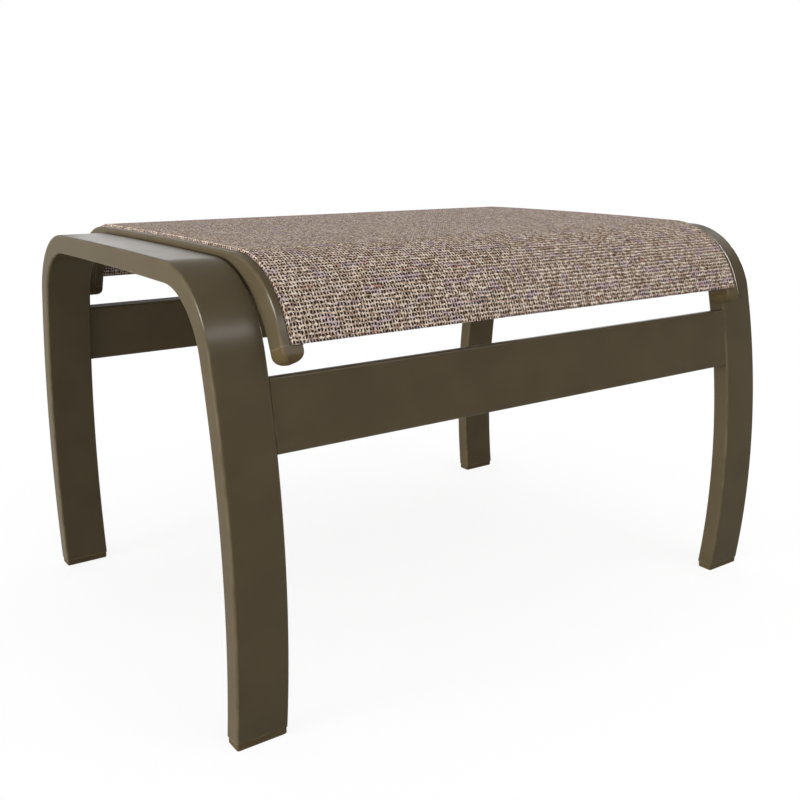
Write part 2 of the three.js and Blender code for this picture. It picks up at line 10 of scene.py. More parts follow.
import bmesh
import bpy
from bpy.props import FloatProperty, FloatVectorProperty, PointerProperty
from bpy.types import Operator, Panel, PropertyGroup
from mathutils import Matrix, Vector


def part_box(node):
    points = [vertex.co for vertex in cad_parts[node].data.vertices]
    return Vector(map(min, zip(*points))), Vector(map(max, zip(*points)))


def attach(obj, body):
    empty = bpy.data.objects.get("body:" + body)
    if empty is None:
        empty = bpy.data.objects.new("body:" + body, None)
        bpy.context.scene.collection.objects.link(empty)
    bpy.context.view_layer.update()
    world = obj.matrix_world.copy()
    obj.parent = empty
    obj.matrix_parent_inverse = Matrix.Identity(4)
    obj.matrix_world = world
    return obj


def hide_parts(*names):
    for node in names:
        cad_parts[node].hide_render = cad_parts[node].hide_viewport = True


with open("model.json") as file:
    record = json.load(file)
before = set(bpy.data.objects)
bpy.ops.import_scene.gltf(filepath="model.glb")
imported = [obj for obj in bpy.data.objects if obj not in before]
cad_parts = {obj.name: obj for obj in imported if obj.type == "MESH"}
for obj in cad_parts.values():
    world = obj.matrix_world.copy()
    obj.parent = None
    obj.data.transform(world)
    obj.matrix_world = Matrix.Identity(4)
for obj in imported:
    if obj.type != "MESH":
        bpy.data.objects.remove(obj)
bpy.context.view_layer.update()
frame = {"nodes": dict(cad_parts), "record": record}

bl_info = {
    "name": "Outdoor ottoman footstool",
    "version": (1, 0, 0),
    "blender": (4, 5, 0),
    "location": "View3D > Sidebar > Ottoman",
    "description": "Models the frames, stretchers, rails, caps, glides and sling of an ottoman",
    "category": "Add Mesh",
}

QUARTER_TURN = math.pi / 2
BODY = "root"
LEFT_FRAME_LOW, LEFT_FRAME_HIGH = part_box("left_frame")
SHARP_ANGLE = math.radians(35)
MERGE_DISTANCE = 0.00001
SURFACE_BAND = 0.00002  # how near to a line a vertex counts as lying on it

# Steps of the curves
CROWN_STEPS = 6
BEND_STEPS = 32
LEG_STEPS = 24
RAIL_BEND_STEPS = 32
FILLET_SEGMENTS = 6
ROUND_STEPS = 10
BORE_STEPS = 28
POCKET_STEPS = 20
HEM_FOLD_STEPS = 6
HEM_STEPS = 6


def linear(hex_colour):
    """Turns an sRGB hex colour into a linear colour with full alpha."""
    shares = [int(hex_colour[i : i + 2], 16) / 255 for i in (1, 3, 5)]
    return (*[s / 12.92 if s <= 0.04045 else ((s + 0.055) / 1.055) ** 2.4 for s in shares], 1)


def size(name, description, default):
    return FloatProperty(name=name, description=description, default=default, unit="LENGTH")


def number(name, description, default, unit="NONE"):
    return FloatProperty(name=name, description=description, default=default, unit=unit)


def watts(name, description, default):
    return number(name, description, default, unit="POWER")


def point(name, description, default):
    return FloatVectorProperty(name=name, description=description, default=default, unit="LENGTH")


def turn(name, description, degrees):
    radians = math.radians(degrees)
    return FloatProperty(name=name, description=description, default=radians, subtype="ANGLE")


def colour(name, description, hex_colour):
    default = linear(hex_colour)
    return FloatVectorProperty(
        name=name, description=description, default=default, size=4, min=0, max=1, subtype="COLOR"
    )


class FrameSizes(PropertyGroup):
    """Sizes of the side frames and the stretchers between them."""

    height: size("Height", "Floor to the crown of a side frame", LEFT_FRAME_HIGH.z)
    half_depth: size("Half depth", "Middle to the widest point of a leg", LEFT_FRAME_HIGH.y)
    half_width: size("Half width", "Middle to the outer face of a frame", -LEFT_FRAME_LOW.x)
    tube_end: size("Tube end", "Floor to the level cut of a leg", LEFT_FRAME_LOW.z)
    tube_width: size("Tube width", "Wide side of the flat tube", 0.0508)
    tube_thickness: size("Tube thickness", "Narrow side of the flat tube", 0.02)
    wall: size("Wall", "Wall of the flat tubes", 0.0016)
    fillet: size("Fillet", "Radius of the tubes' edges", 0.0025)
    leg_radius: size("Leg bow", "Radius of the bow of a leg", 0.961)
    bow_height: size("Bow height", "Floor to the widest point of a leg", 0.128)
    bend_radius: size("Bend", "Outer radius of the two bends of a frame", 0.09)
    crown_radius: size("Crown", "Radius of the nearly flat crown", 10.4)
    stretcher_thickness: size("Stretcher thickness", "Narrow side of a stretcher", 0.016)
    stretcher_face: size("Stretcher face", "Wide side of a stretcher", 0.065)
    stretcher_recess: size("Recess", "Legs' outer face to a stretcher's face", 0.0012)


class RailSizes(PropertyGroup):
    """Sizes of the sling rails and their end caps."""

    width: size("Width", "Rail from side to side", 0.0206)
    depth: size("Depth", "Rail from its outer face inwards", 0.0223)
    outer_fillet: size("Outer fillet", "Radius of the two outer edges", 0.003)
    inner_fillet: size("Inner fillet", "Radius of the two inner edges", 0.001)
    rise: size("Rise", "Crown of a rail above the crown of a side frame", 0.0056)
    gap: size("Gap", "Side frame to rail", 0.002)
    roll_depth: size("Roll depth", "Flat stretch to the widest point of a leg", 0.089)
    bend_radius: size("Bend", "Radius of the bend at the front and rear", 0.091)
    tail_turn: turn("Tail angle", "Direction where the bend ends", 68.5)
    tail: size("Tail", "Straight stretch below the bend", 0.0114)
    slot_inset: size("Slot inset", "Outer side of the rail to the middle of the slot", 0.0092)
    slot_width: size("Slot width", "Width of the slot's mouth", 0.003)
    bore_radius: size("Bore radius", "Radius of the bore below the slot", 0.004)
    bore_depth: size("Bore depth", "Outer face to the middle of the bore", 0.0058)
    step: size("Step", "How far the side under the cloth stands above the other side", 0.0017)
    cap_straight: size("Cap straight", "Straight part of an end cap", 0.0034)
    cap_side_radius: size("Cap side radius", "Rounding of a cap towards its sides", 0.01)
    cap_face_radius: size("Cap face radius", "Rounding of a cap towards its faces", 0.007)


class GlideSizes(PropertyGroup):
    """Sizes of the foot glides."""

    inset: size("Inset", "Side of the leg to the side of a glide", 0.0008)
    seat_gap: size("Seat gap", "Glide to the end of the tube", 0.0003)
    corner: size("Corner", "Radius of the upright edges", 0.002)
    edge_radius: size("Edge radius", "Rounding of the long low edges", 0.002)
    end_radius: size("End radius", "Rounding of the short low edges", 0.002)


class SlingSizes(PropertyGroup):
    """Sizes of the sling and its weave."""

    ply: size("Ply", "Thickness of the mesh cloth", 0.0007)
    rise: size("Rise", "Outer face of a rail to the top of the cloth", 0.0025)
    tail: size("Tail", "How far the cloth reaches below the bend of a rail", 0.0112)
    hem: size("Hem", "Depth of the turned hem at the front and rear", 0.022)
    fold_radius: size("Fold radius", "Bend where the cloth turns into the slot", 0.0011)
    pocket_radius: size("Pocket radius", "Outer radius of the pocket round a spline", 0.0033)
    warp_pitch: size("Warp pitch", "Spacing of the yarns that run from front to rear", 0.0031)
    weft_pitch: size("Weft pitch", "Spacing of the yarns that run from rail to rail", 0.0039)


class Finishes(PropertyGroup):
    """Colours of the finishes."""

    powder: colour("Powder coat", "Bronze-brown powder coat of the tubes and rails", "#4c4332")
    # The paler edge colour stands partly for wear from rubbing and partly for a painted highlight
    # along the fillets
    rubbed_and_highlit: colour("Rubbed coat", "Powder coat where hands and shoes rub the edges", "#6e624c")
    cap: colour("Caps", "Moulded plastic of the rail end caps", "#50432c")
    foot: colour("Glides", "Moulded plastic of the foot glides", "#4b3f2a")
    cream: colour("Cream yarn", "Light yarns of the sling", "#cfc0b1")
    tan: colour("Tan yarn", "Middle yarns of the sling", "#b19b87")
    umber: colour("Umber yarn", "Dark yarns of the sling", "#8a725f")
    heather: colour("Heather yarn", "Purplish slubs of the sling", "#a893a2")
    rose: colour("Rose yarn", "Reddish slubs of the sling", "#b97e72")
    moss: colour("Moss yarn", "Few yellow-green warp yarns", "#a39a5c")
    # Painted shade: this dark colour fills the holes of the mesh and the low flanks of the yarns,
    # in place of the shadow behind them
    shade: colour("Mesh shade", "What the eye meets in the holes of the mesh", "#26180f")
    steel: colour("Steel", "Stainless steel of the bolts and inserts", "#cbcac6")
    nylon: colour("Nylon", "Moulded nylon of the spacer rings", "#2b2825")
    spline: colour("Spline", "Natural plastic of the rods in the pockets", "#dcd9d1")


class StageSizes(PropertyGroup):
    """The floor, the lamps, the bright cards that show only in reflections, and the camera."""

    floor: size("Floor", "Side of the square floor", 12)
    floor_white: colour("Seen floor", "Floor as the camera sees it", "#ffffff")
    floor_grey: colour("Lit floor", "Floor that sends its light back to the ottoman", "#c8c8c8")
    ambient: number("Ambient", "Level of the light all round", 0.84)
    side_place: point("Side lamp", "Middle of the lamp at the left", (-6, -0.3, 0.65))
    side_width: size("Side width", "Width of the lamp at the left", 2.4)
    side_height: size("Side height", "Height of the lamp at the left", 1)
    side_watts: watts("Side power", "Power of the lamp at the left", 435)
    front_place: point("Front lamp", "Middle of the lamp in front", (0.52, -1.63, 1.5))
    front_width: size("Front width", "Width of the lamp in front", 1.6)
    front_height: size("Front height", "Height of the lamp in front", 0.3)
    front_watts: watts("Front power", "Power of the lamp in front", 9)
    bend_place: point("Bend card", "Bright card that the bends mirror", (0.52, -1.63, 1.5))
    bend_width: size("Bend width", "Width of the card for the bends", 1.6)
    bend_height: size("Bend height", "Height of the card for the bends", 0.3)
    bend_watts: watts("Bend power", "Power of the card for the bends", 135)
    ridge_place: point("Ridge card", "Bright card that the rails' ridges mirror", (-1.6, -1.1, 2.2))
    ridge_width: size("Ridge width", "Width of the card for the ridges", 0.8)
    ridge_height: size("Ridge height", "Height of the card for the ridges", 0.6)
    ridge_watts: watts("Ridge power", "Power of the card for the ridges", 1000)
    crown_place: point("Crown card", "Bright card that the crowns mirror", (1.6, 2.4, 0.9))
    crown_width: size("Crown width", "Width of the card for the crowns", 2.5)
    crown_height: size("Crown height", "Height of the card for the crowns", 1)
    crown_watts: watts("Crown power", "Power of the card for the crowns", 12)
    right_place: point("Right card", "Bright card that the right bends mirror", (2.6, 0.1, 2))
    right_width: size("Right width", "Width of the card at the right", 1.6)
    right_height: size("Right height", "Height of the card at the right", 1.2)
    right_watts: watts("Right power", "Power of the card at the right", 22)
    edge_place: point("Edge card", "Bright card that the right edges mirror", (3, 0.78, 0.48))
    edge_width: size("Edge width", "Width of the card for the edges", 1.1)
    edge_height: size("Edge height", "Height of the card for the edges", 0.4)
    edge_watts: watts("Edge power", "Power of the card for the edges", 75)
    camera_place: point("Camera", "Place of the camera", (-0.6572, -0.9267, 0.5079))
    camera_pitch: turn("Pitch", "How far the camera looks down", 14.63)
    camera_yaw: turn("Yaw", "How far the camera is turned to the right", 35.39)
    camera_lens: number("Lens", "Focal length in mm", 43.63, unit="CAMERA")


# Side outlines


class Arc:
    """An arc of a side outline, from one angle to a greater one."""

    def __init__(self, centre, radius, start, end, steps):
        self.centre = centre
        self.radius = radius
        self.start = start
        self.end = end
        self.steps = steps

    def point(self, angle):
        return self.centre + self.radius * outward(angle)

    def length(self):
        return self.radius * (self.end - self.start)


def outward(angle):
    return Vector((0, math.sin(angle), math.cos(angle)))


def along(angle):
    return Vector((0, math.cos(angle), -math.sin(angle)))


def frame_arcs(sizes):
    """The rear half of a side frame: the crown, the bend and the leg, to below the floor."""
    leg = Vector((0, sizes.half_depth - sizes.leg_radius, sizes.bow_height))
    crown = Vector((0, 0, sizes.height - sizes.crown_radius))
    to_leg = sizes.leg_radius - sizes.bend_radius
    to_crown = sizes.crown_radius - sizes.bend_radius
    span = (leg - crown).length
    reach = (to_crown**2 - to_leg**2 + span**2) / (2 * span)
    aside = math.sqrt(to_crown**2 - reach**2)
    step = (leg - crown) / span
    bend = crown + reach * step + aside * Vector((0, step.z, -step.y))
    crown_end = math.atan2((bend - crown).y, (bend - crown).z)
    leg_start = math.atan2((bend - leg).y, (bend - leg).z)
    leg_end = leg_angle(sizes, -sizes.tube_thickness)
    return [
        Arc(crown, sizes.crown_radius, 0, crown_end, CROWN_STEPS),
        Arc(bend, sizes.bend_radius, crown_end, leg_start, BEND_STEPS),
        Arc(leg, sizes.leg_radius, leg_start, leg_end, LEG_STEPS),
    ]


def leg_angle(sizes, height):
    """Outward direction of the rear leg at a height."""
    return QUARTER_TURN + math.asin((sizes.bow_height - height) / sizes.leg_radius)


def leg_point(sizes, height, inset):
    """Point of the rear leg at a height, at an inset from its outer face."""
    centre = Vector((0, sizes.half_depth - sizes.leg_radius, sizes.bow_height))
    return centre + (sizes.leg_radius - inset) * outward(leg_angle(sizes, height))


def rail_crown(frames, rails):
    return frames.height + rails.rise


def rail_arcs(frames, rails):
    """The rear half of a rail's outer face: the crown and the bend."""
    half = frames.half_depth - rails.roll_depth
    crown = Vector((0, 0, rail_crown(frames, rails) - frames.crown_radius))
    flat_end = math.asin(half / frames.crown_radius)
    flat = Arc(crown, frames.crown_radius, 0, flat_end, CROWN_STEPS)
    centre = flat.point(flat_end) - rails.bend_radius * outward(flat_end)
    bend = Arc(centre, rails.bend_radius, flat_end, rails.tail_turn, RAIL_BEND_STEPS)
    return [flat, bend]


def place_on(arcs, co):
    """How far a place lies along a side outline, from the crown to the rear, and outside it."""
    side = math.copysign(1, co.y)
    mirrored = Vector((0, abs(co.y), co.z))
    run = 0
    for arc in arcs:
        away = mirrored - arc.centre
        angle = math.atan2(away.y, away.z)
        if angle <= arc.end:
            return side * (run + arc.radius * (angle - arc.start)), away.length - arc.radius
        run += arc.length()
    last = arcs[-1]
    beyond = mirrored - last.point(last.end)
    return side * (run + beyond.dot(along(last.end))), beyond.dot(outward(last.end))


# Modelling steps


def start_piece(name, width, height, middle, facing="FRONT"):
    """Adds an upright rectangle that faces the front or a side, or lies flat, in edit mode."""
    bpy.ops.object.select_all(action="DESELECT")
    rotations = {
        "FRONT": (QUARTER_TURN, 0, 0),
        "SIDE": (QUARTER_TURN, 0, QUARTER_TURN),
        "UP": (0, 0, 0),
    }
    bpy.ops.mesh.primitive_plane_add(size=1, location=middle, rotation=rotations[facing])
    piece = bpy.context.object
    piece.name = name
    piece.scale = (width, height, 1)
    bpy.ops.object.transform_apply(location=True, rotation=True, scale=True)
    bpy.ops.object.mode_set(mode="EDIT")
    return piece


def pick(kind, test):
    """Selects the vertices or edges that pass a test on their middle, and no others."""
    bpy.ops.mesh.select_mode(type=kind)
    bpy.ops.mesh.select_all(action="DESELECT")
    data = bpy.context.object.data
    mesh = bmesh.from_edit_mesh(data)
    if kind == "VERT":
        chosen = [vertex for vertex in mesh.verts if test(vertex.co)]
    else:
        chosen = [edge for edge in mesh.edges if test((edge.verts[0].co + edge.verts[1].co) / 2)]
    for element in chosen:
        element.select_set(True)
    mesh.select_flush_mode()
    bmesh.update_edit_mesh(data)


def pick_all():
    bpy.ops.mesh.select_mode(type="VERT")
    bpy.ops.mesh.select_all(action="SELECT")


def round_corners(radius, test):
    pick("VERT", test)
    bpy.ops.mesh.bevel(offset=radius, segments=FILLET_SEGMENTS, affect="VERTICES")


def keep_outline():
    """Leaves only the edges of what is in edit mode, all selected."""
    pick_all()
    bpy.ops.mesh.delete(type="ONLY_FACE")
    pick_all()


def spin_along(arcs):
    """Sweeps the selected outline along arcs, each from where the last one ends."""
    for arc in arcs:
        bpy.ops.mesh.spin(
            steps=arc.steps, angle=arc.end - arc.start, center=arc.centre, axis=(1, 0, 0)
        )


def extrude(offset):
    bpy.ops.mesh.extrude_region_move(TRANSFORM_OT_translate={"value": offset})


def apply_modifier(piece, kind, **settings):
    modifier = piece.modifiers.new(kind.title(), kind)
    for name, value in settings.items():
        setattr(modifier, name, value)
    bpy.ops.object.modifier_apply(modifier=modifier.name)


def finish_mesh(piece, wall=0, mirror=True):
    """Mirrors the rear half to the front, closes the seam, and gives the skin its wall."""
    bpy.ops.object.mode_set(mode="OBJECT")
    if mirror:
        axes = (False, True, False)
        apply_modifier(piece, "MIRROR", use_axis=axes, merge_threshold=MERGE_DISTANCE)
    bpy.ops.object.mode_set(mode="EDIT")
    pick_all()
    bpy.ops.mesh.remove_doubles(threshold=MERGE_DISTANCE)
    bpy.ops.mesh.normals_make_consistent(inside=False)
    bpy.ops.object.mode_set(mode="OBJECT")
    if wall:
        apply_modifier(piece, "SOLIDIFY", thickness=wall, offset=-1, use_even_offset=True)


def select_only(piece):
    bpy.ops.object.select_all(action="DESELECT")
    piece.select_set(True)
    bpy.context.view_layer.objects.active = piece


def copy_piece(piece, name, offset=(0, 0, 0), flip=None):
    """Copies a piece with its own mesh, moved by an offset or mirrored across an axis."""
    select_only(piece)
    bpy.ops.object.duplicate(linked=False)
    copy = bpy.context.object
    copy.name = name
    bpy.ops.object.mode_set(mode="EDIT")
    pick_all()
    if flip is not None:
        factors = [-1 if axis == flip else 1 for axis in range(3)]
        bpy.ops.transform.resize(value=factors, center_override=(0, 0, 0))
        bpy.ops.mesh.flip_normals()
    bpy.ops.transform.translate(value=offset)
    bpy.ops.object.mode_set(mode="OBJECT")
    return copy


def rounded_end(centre, halves, radii, length):
    """Extrudes the selected level outline downwards and draws it in to rounded low edges.

    The outline has the half sizes in X and Y, and each of them its own radius."""
    deepest = max(radii)
    depth = 0
    before = halves
    for step in range(ROUND_STEPS + 1):
        next_depth = length - deepest + deepest * math.sin(QUARTER_TURN * step / ROUND_STEPS)
        after = []
        for half, radius in zip(halves, radii):
            low = max(0, next_depth - (length - radius))
            after.append(half - radius + math.sqrt(max(0, radius**2 - low**2)))
        extrude((0, 0, depth - next_depth))
        ratios = (after[0] / before[0], after[1] / before[1], 1)
        bpy.ops.transform.resize(value=ratios, center_override=centre)
        depth = next_depth
        before = after
    bpy.ops.mesh.edge_face_add()


def at_four_corners(piece, stem):
    """Copies a rear left piece to the other three corners and names all four."""
    piece.name = f"{stem}_rear_left"
    front = copy_piece(piece, f"{stem}_front_left", flip=1)
    pieces = {"rear_left": piece, "front_left": front}
    for end, left in (("rear", piece), ("front", front)):
        pieces[f"{end}_right"] = copy_piece(left, f"{stem}_{end}_right", flip=0)
    return pieces


def dress(piece, slot, *nodes):
    """Shades a finished piece, gives it its finish and says what it stands for."""
    select_only(piece)
    bpy.ops.object.shade_smooth_by_angle(angle=SHARP_ANGLE)
    apply_modifier(piece, "WEIGHTED_NORMAL", keep_sharp=True)
    piece.data.materials.clear()
    piece.data.materials.append(finish(slot))
    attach(piece, BODY)
    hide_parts(*nodes)


# Materials

MATH = "ShaderNodeMath"
VECTOR_MATH = "ShaderNodeVectorMath"
NOISE = "ShaderNodeTexNoise"
MAP_RANGE = "ShaderNodeMapRange"
MIX = "ShaderNodeMix"

# Sockets of a mix of colours: its two colours in, and its colour out
MIX_A = 6
MIX_B = 7
MIX_OUT = 2

# Lower than the real ones, near 1.5, with which a white studio would grey the dark colours
POWDER_COAT_IOR = 1.09
MOULDED_IOR = 1.12
YARN_IOR = 1.08
YARN_ROUGHNESS = 0.7

# Slubs: their size across and along the yarns that run from front to rear, the noise levels where
# they start and where they are full, and how much of their colour the yarns take
HEATHER_SLUB = {"across": 0.018, "along": 0.01, "starts": 0.55, "full": 0.63, "colour_share": 0.55}
ROSE_SLUB = {"across": 0.014, "along": 0.007, "starts": 0.69, "full": 0.74, "colour_share": 0.75}
MOSS_SLUB = {"across": 0.004, "along": 0.03, "starts": 0.74, "full": 0.78, "colour_share": 0.7}


def add_node(tree, kind, inputs=None, output=0, **settings):
    """Adds a node with its settings and gives one of its outputs back.

    An input that is given a socket is linked to it, and any other input takes the value."""
    node = tree.nodes.new(kind)
    for name, value in settings.items():
        setattr(node, name, value)
    for name, value in (inputs or {}).items():
        if isinstance(value, bpy.types.NodeSocket):
            tree.links.new(value, node.inputs[name])
        else:
            node.inputs[name].default_value = value
    return node.outputs[output]


def finish(slot):
    """The finish of a material slot, built when a piece first asks for it."""
    name, build = FINISH_OF_SLOT[slot]
    material = bpy.data.materials.get(name)
    if material is None:
        material = bpy.data.materials.new(name)
        material.use_nodes = True
        tree = material.node_tree
        build(tree, tree.nodes["Principled BSDF"])
    return material


def clouds(tree, place, stretch, low=0.3, high=0.7, detail=2):
    """Soft noise whose levels from low to high are spread from 0 to 1.

    stretch says how many clouds go into a unit of each axis."""
    stretched = add_node(tree, VECTOR_MATH, {0: place, 1: stretch}, operation="MULTIPLY")
    noise = add_node(tree, NOISE, {"Vector": stretched, "Scale": 1, "Detail": detail})
    stops = {"Value": noise, "From Min": low, "From Max": high}
    return add_node(tree, MAP_RANGE, stops, interpolation_type="SMOOTHSTEP")


def grained_surface(tree, shader, base, roughness, grain, relief, drift):
    """A finish with a fine raised grain, and a tone and a gloss that drift over wider clouds.

    grain and drift are the widths of the grains and the clouds, relief the height of a grain.
    A grain that is really too fine to show is drawn as coarse as it needs to be."""
    tone_shares = (0.95, 1.05)
    gloss_drift = 0.015
    place = add_node(tree, "ShaderNodeTexCoord", output="Object")
    cloud = clouds(tree, place, [1 / drift] * 3)
    tones = {"To Min": tone_shares[0], "To Max": tone_shares[1]}
    tone = add_node(tree, MAP_RANGE, {"Value": cloud, **tones})
    glosses = {"To Min": roughness - gloss_drift, "To Max": roughness + gloss_drift}
    gloss = add_node(tree, MAP_RANGE, {"Value": cloud, **glosses})
    shade = add_node(tree, VECTOR_MATH, {0: base, "Scale": tone}, operation="SCALE")
    grains = clouds(tree, place, [1 / grain] * 3)
    bump = add_node(tree, "ShaderNodeBump", {"Height": grains, "Distance": relief})
    tree.links.new(shade, shader.inputs["Base Color"])
    tree.links.new(gloss, shader.inputs["Roughness"])
    tree.links.new(bump, shader.inputs["Normal"])


def powder_coat(tree, shader):
    """Satin powder coat, baked on: a fine orange peel that breaks up a soft, wide highlight, and
    edges painted a little paler, partly as wear from rubbing and partly as a painted highlight
    along the fillets."""
    finishes = bpy.context.scene.ottoman_finishes
    edge_width = 0.002
    edge_turn_share = 0.05
    rub_length = 0.02
    roughness = 0.3
    grain = 0.0011
    relief = 0.000012
    drift = 0.045
    shader.inputs["IOR"].default_value = POWDER_COAT_IOR
    round_normal = add_node(tree, "ShaderNodeBevel", {"Radius": edge_width})
    normal = add_node(tree, "ShaderNodeNewGeometry", output="Normal")
    turn_inputs = {0: round_normal, 1: normal}
    facing = add_node(tree, VECTOR_MATH, turn_inputs, "Value", operation="DOT_PRODUCT")
    turned = {"Value": facing, "From Min": 1, "From Max": 1 - edge_turn_share}
    edge = add_node(tree, MAP_RANGE, turned)
    place = add_node(tree, "ShaderNodeTexCoord", output="Object")
    rub = clouds(tree, place, [1 / rub_length] * 3)
    # Paler along the edges: partly wear from rubbing, partly a painted highlight along the fillets
    worn_and_highlit = add_node(tree, MATH, {0: edge, 1: rub}, operation="MULTIPLY")
    colours = {"Factor": worn_and_highlit, MIX_A: finishes.powder, MIX_B: finishes.rubbed_and_highlit}
    base = add_node(tree, MIX, colours, MIX_OUT, data_type="RGBA")
    grained_surface(tree, shader, base, roughness, grain, relief, drift)


def cap_plastic(tree, shader):
    """Moulded nylon with a spark-eroded grain: duller than the tubes, with an even sheen."""
    base = bpy.context.scene.ottoman_finishes.cap[:3]
    roughness = 0.45
    grain = 0.0006
    relief = 0.00002
    drift = 0.012
    shader.inputs["IOR"].default_value = MOULDED_IOR
    grained_surface(tree, shader, base, roughness, grain, relief, drift)


def foot_plastic(tree, shader):
    """Moulded polyethylene: dull and a little waxy, with a coarse grain."""
    base = bpy.context.scene.ottoman_finishes.foot[:3]
    roughness = 0.55
    grain = 0.0008
    relief = 0.00003
    drift = 0.015
    shader.inputs["IOR"].default_value = MOULDED_IOR
    grained_surface(tree, shader, base, roughness, grain, relief, drift)


def spacer_nylon(tree, shader):
    """Moulded nylon, dyed near black, and dull."""
    base = bpy.context.scene.ottoman_finishes.nylon[:3]
    roughness = 0.5
    grain = 0.0005
    relief = 0.00001
    drift = 0.004
    grained_surface(tree, shader, base, roughness, grain, relief, drift)


def spline_plastic(tree, shader):
    """Extruded plastic rod: pale, with a smooth silky surface."""
    base = bpy.context.scene.ottoman_finishes.spline[:3]
    roughness = 0.35
    grain = 0.0015
    relief = 0.00001
    drift = 0.01
    grained_surface(tree, shader, base, roughness, grain, relief, drift)


def stainless_steel(tree, shader):
    """Stainless steel as turned: bright, with fine tool marks and an uneven gloss."""
    base = bpy.context.scene.ottoman_finishes.steel[:3]
    roughness = 0.3
    grain = 0.0004
    relief = 0.000006
    drift = 0.003
    shader.inputs["Metallic"].default_value = 1
    grained_surface(tree, shader, base, roughness, grain, relief, drift)


def yarns(tree, across, length, seed, first_turn):
    """One set of parallel yarns: how high they stand over the cloth's middle, and their colour.

    across and length count the yarns of this set and of the other one, and their middles lie at
    whole numbers. first_turn is where the yarn over the middle starts its wave."""
    half_shares = (0.18, 0.32)
    half_stretch = (0.9, 3.3, 1)  # clouds per yarn, as is the next one
    tone_stretch = (0.7, 3.7, 1)
    dark_level = 0.1
    middle_level = 0.4
    pale_level = 0.75
    crimp_share = 0.5
    half_spacing = 0.5
    finishes = bpy.context.scene.ottoman_finishes
    which = add_node(tree, MATH, {0: across}, operation="ROUND")
    place = add_node(tree, "ShaderNodeCombineXYZ", {"X": length, "Y": which, "Z": seed})
    spread = {"To Min": half_shares[0], "To Max": half_shares[1]}
    half = add_node(tree, MAP_RANGE, {"Value": clouds(tree, place, half_stretch), **spread})
    aside = add_node(tree, MATH, {0: across, 1: half_spacing}, operation="PINGPONG")
    share = add_node(tree, MATH, {0: aside, 1: half}, operation="DIVIDE")
    hollow = add_node(tree, MATH, {0: share, 1: 2}, operation="POWER")
    section = add_node(tree, MATH, {0: 1, 1: hollow}, operation="SUBTRACT")
    crossing = add_node(tree, MATH, {0: length, 1: which}, operation="ADD")
    turn_inputs = {0: crossing, 1: math.pi, 2: first_turn}
    angle = add_node(tree, MATH, turn_inputs, operation="MULTIPLY_ADD")
    wave = add_node(tree, MATH, {0: angle}, operation="COSINE")
    wave_inputs = {0: wave, 1: crimp_share, 2: section}
    height = add_node(tree, MATH, wave_inputs, operation="MULTIPLY_ADD")
    tone = clouds(tree, place, tone_stretch)
    dark_stops = {"From Min": dark_level, "From Max": middle_level}
    dark = add_node(tree, MAP_RANGE, {"Value": tone, **dark_stops})
    pale_stops = {"From Min": middle_level, "From Max": pale_level}
    pale = add_node(tree, MAP_RANGE, {"Value": tone, **pale_stops})
    lower = {"Factor": dark, MIX_A: finishes.umber, MIX_B: finishes.tan}
    below = add_node(tree, MIX, lower, MIX_OUT, data_type="RGBA")
    upper = {"Factor": pale, MIX_A: below, MIX_B: finishes.cream}
    return height, add_node(tree, MIX, upper, MIX_OUT, data_type="RGBA")


def count_yarns(tree, place):
    """How many yarns of each set lie up to a place, with a small sway from yarn to yarn."""
    sizes = bpy.context.scene.ottoman_sling
    sway_length = 1.1  # in yarns, as is the next one
    sway = 0.95
    noise_middle = 0.5
    pitches = (1 / sizes.warp_pitch, 1 / sizes.weft_pitch, 0)
    even = add_node(tree, VECTOR_MATH, {0: place, 1: pitches}, operation="MULTIPLY")
    wander_inputs = {"Vector": even, "Scale": 1 / sway_length, "Detail": 1}
    noise = add_node(tree, NOISE, wander_inputs, "Color")
    middle = [noise_middle] * 3
    wander = add_node(tree, VECTOR_MATH, {0: noise, 1: middle}, operation="SUBTRACT")
    count_inputs = {0: wander, 1: [sway] * 3, 2: even}
    counts = add_node(tree, VECTOR_MATH, count_inputs, operation="MULTIPLY_ADD")
    warp = add_node(tree, "ShaderNodeSeparateXYZ", {"Vector": counts}, "X")
    weft = add_node(tree, "ShaderNodeSeparateXYZ", {"Vector": counts}, "Y")
    return warp, weft


def add_slub(tree, place, yarn, colour, slub):
    """Colours the yarns in soft patches that cross like a loose plaid."""
    stretch = (1 / slub["across"], 1 / slub["along"], 1)
    there = clouds(tree, place, stretch, slub["starts"], slub["full"], detail=1)
    share = add_node(tree, MATH, {0: there, 1: slub["colour_share"]}, operation="MULTIPLY")
    colours = {"Factor": share, MIX_A: yarn, MIX_B: colour}
    return add_node(tree, MIX, colours, MIX_OUT, data_type="RGBA")


